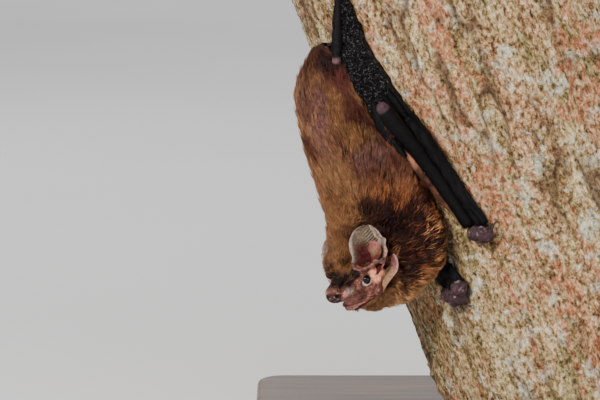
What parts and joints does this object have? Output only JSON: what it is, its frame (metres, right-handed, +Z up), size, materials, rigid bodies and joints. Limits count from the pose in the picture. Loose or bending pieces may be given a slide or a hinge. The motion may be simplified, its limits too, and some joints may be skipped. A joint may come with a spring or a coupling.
{
  "type": "lesser noctule bat clinging to a cut length of trunk",
  "caption": "Small brown bat clinging head down to a leaning cut length of trunk, head bent back and wings folded, held by a plain display stand.",
  "frame": {"origin": "centre of the stand base's underside", "axes": "+Z up; the trunk leans towards -X; the bat clings to its -X, -Y side with its head down; -Y is the front"},
  "size_m": [0.1503, 0.112, 0.152],
  "materials": {
    "fur": "soft, close brown fur with golden tips and dark roots",
    "wing_skin": "black, finely wrinkled, slightly glossy wing skin",
    "wrist_skin": "purplish-brown bare skin with fine creases",
    "face_skin": "bare pinkish-brown skin with fine folds",
    "ear_skin": "thin greyish-brown ear skin with cross ridges",
    "eye": "wet black",
    "claw": "dark horn",
    "bark": "rough, furrowed pale bark with sawn ends",
    "base_wood": "dark stained wood, satin",
    "rod_steel": "brushed steel"
  },
  "bodies": {
    "root": {"ear_left": "ear_skin", "ear_right": "ear_skin", "eye_left": "eye", "eye_right": "eye", "fingers_left": "wing_skin", "fingers_right": "wing_skin", "foot_left": "wrist_skin", "foot_right": "wrist_skin", "forearm_left": "wing_skin", "forearm_right": "wing_skin", "head": "face_skin", "lower_jaw": "face_skin", "neck": "fur", "shank_left": "wing_skin", "shank_right": "wing_skin", "stand_base": "base_wood", "stand_rod_left": "rod_steel", "stand_rod_right": "rod_steel", "tail": "wing_skin", "tail_membrane": "wing_skin", "thigh_left": "fur", "thigh_right": "fur", "thumb_claw_left": "claw", "thumb_claw_right": "claw", "thumb_left": "wrist_skin", "thumb_right": "wrist_skin", "toe_claw_left_1": "claw", "toe_claw_left_2": "claw", "toe_claw_left_3": "claw", "toe_claw_left_4": "claw", "toe_claw_left_5": "claw", "toe_claw_right_1": "claw", "toe_claw_right_2": "claw", "toe_claw_right_3": "claw", "toe_claw_right_4": "claw", "toe_claw_right_5": "claw", "torso": "fur", "tragus_left": "ear_skin", "tragus_right": "ear_skin", "trunk_length": "bark", "upper_arm_left": "wing_skin", "wing_membrane_left": "wing_skin", "wing_membrane_right": "wing_skin"}
  },
  "joints": []
}
